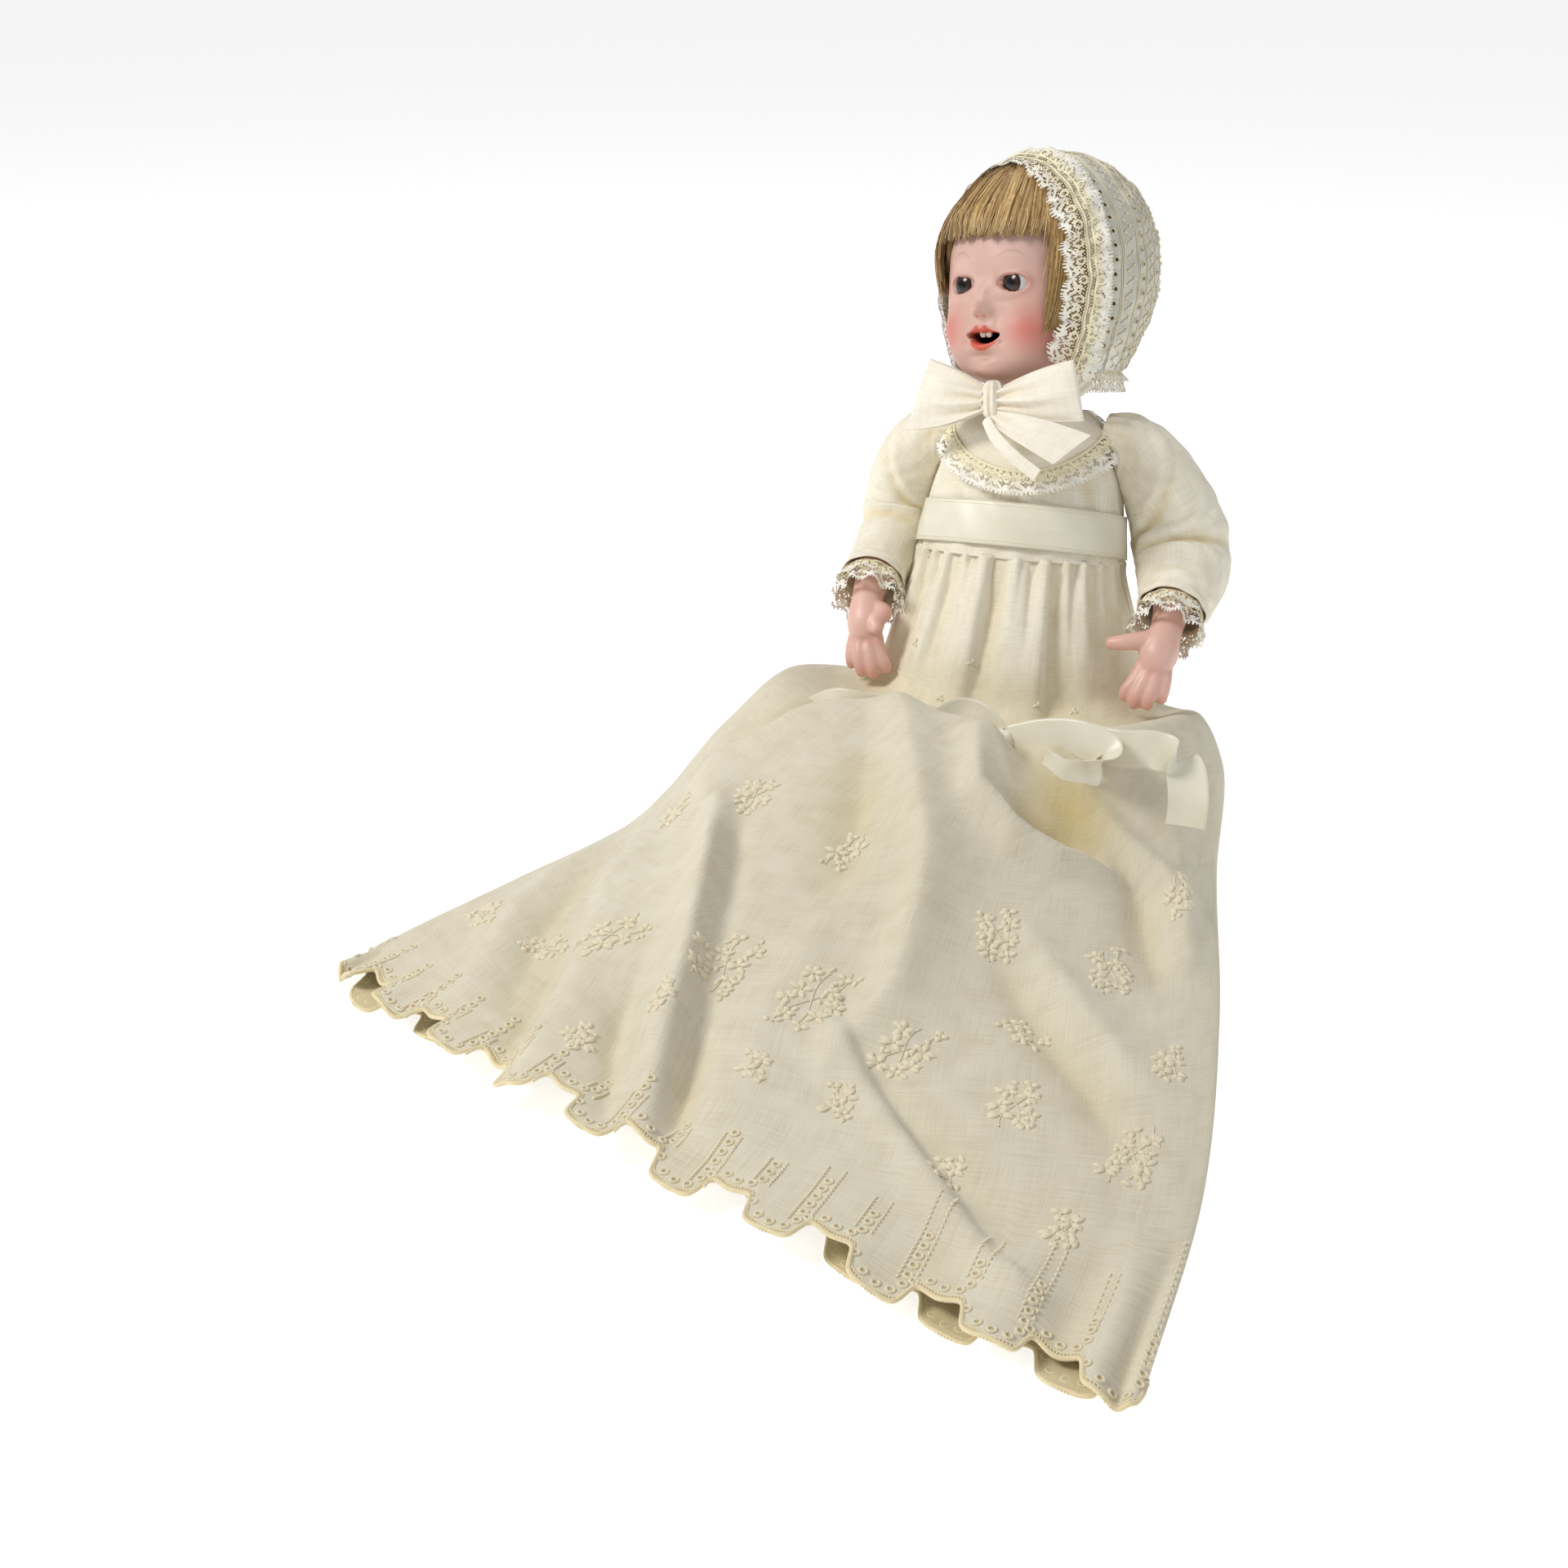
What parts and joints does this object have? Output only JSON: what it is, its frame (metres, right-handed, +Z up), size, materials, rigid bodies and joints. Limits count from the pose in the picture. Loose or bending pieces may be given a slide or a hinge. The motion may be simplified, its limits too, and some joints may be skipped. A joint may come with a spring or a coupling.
{
  "type": "porcelain doll",
  "caption": "Seated character-baby doll with a porcelain socket head, sleep eyes, strung composition limbs, tied lace bonnet and a long spread christening gown.",
  "frame": {"origin": "on the table under the seat, on the underside of the gown", "axes": "+Z up, -Y is the way the body faces and the gown is spread, +X is the doll's own left"},
  "size_m": [0.3295, 0.5177, 0.2692],
  "materials": {
    "porcelain": "matte bisque, painted",
    "composition": "satin flesh paint",
    "steel": "drawn wire",
    "elastic": "cotton covered",
    "wood": "bare turned",
    "card": "pressed card",
    "mohair": "combed mohair",
    "enamel": "glossy white",
    "eye_glass": "blown glass, opaque",
    "lead": "cast, dull",
    "cork": "cut",
    "lawn": "fine cotton lawn, aged cream",
    "bonnet_lawn": "sheer embroidered lawn",
    "lace": "cotton lace",
    "satin": "ivory satin ribbon",
    "pearl": "mother of pearl"
  },
  "bodies": {
    "body": {"torso": "composition", "arm_elastic": "elastic", "neck_elastic": "elastic", "gown_bodice": "lawn", "waist_ribbon": "satin", "collar": "lawn", "collar_lace_front": "lace", "collar_lace_back": "lace", "back_button_1": "pearl", "back_button_2": "pearl", "back_button_3": "pearl", "gown_skirt": "lawn", "lap_bow_knot": "satin", "lap_bow_loop_left": "satin", "lap_bow_loop_right": "satin", "lap_bow_tail_left": "satin", "lap_bow_tail_right": "satin"},
    "head": {"porcelain_head": "porcelain", "crown_pate": "card", "mohair_wig": "mohair", "upper_teeth": "enamel", "neck_hook": "steel", "neck_button": "wood", "eye_stop_cork": "cork", "bonnet": "bonnet_lawn", "bonnet_face_lace": "lace", "bonnet_nape_lace": "lace", "bonnet_tie_left": "lawn", "bonnet_tie_right": "lawn", "chin_bow_knot": "lawn", "chin_bow_loop_left": "lawn", "chin_bow_loop_right": "lawn", "chin_bow_tail_upper": "lawn", "chin_bow_tail_lower": "lawn"},
    "eyes": {"eye_left": "eye_glass", "eye_right": "eye_glass", "eye_rocker": "steel", "eye_weight": "lead"},
    "left_arm": {"arm_left": "composition", "arm_hook_left": "steel", "sleeve_left": "lawn", "cuff_lace_left": "lace"},
    "right_arm": {"arm_right": "composition", "arm_hook_right": "steel", "sleeve_right": "lawn", "cuff_lace_right": "lace"},
    "left_leg": {"leg_left": "composition", "leg_hook_left": "steel"},
    "right_leg": {"leg_right": "composition", "leg_hook_right": "steel"}
  },
  "joints": [
    {"name": "head_turn", "type": "hinge", "parent": "body", "child": "head", "pos_m": [0, 0.03969, 0.1653], "axis": [-0.0785, 0.2327, 0.9694], "range_deg": [-5, 40]},
    {"name": "eye_rock", "type": "hinge", "parent": "head", "child": "eyes", "pos_m": [-0.01615, 0.02279, 0.21912], "axis": [0.9177, -0.3631, 0.1614], "range_deg": [0, 60]},
    {"name": "shoulder_left", "type": "hinge", "parent": "body", "child": "left_arm", "pos_m": [0.042, 0.03618, 0.15072], "axis": [1, 0, 0], "range_deg": [-45, 0]},
    {"name": "shoulder_right", "type": "hinge", "parent": "body", "child": "right_arm", "pos_m": [-0.042, 0.03618, 0.15072], "axis": [1, 0, 0], "range_deg": [-45, 0]},
    {"name": "hip_left", "type": "hinge", "parent": "body", "child": "left_leg", "pos_m": [0.027, -0.008, 0.027], "axis": [1, 0, 0], "range_deg": [-6, 0]},
    {"name": "hip_right", "type": "hinge", "parent": "body", "child": "right_leg", "pos_m": [-0.027, -0.008, 0.027], "axis": [1, 0, 0], "range_deg": [-6, 0]}
  ]
}
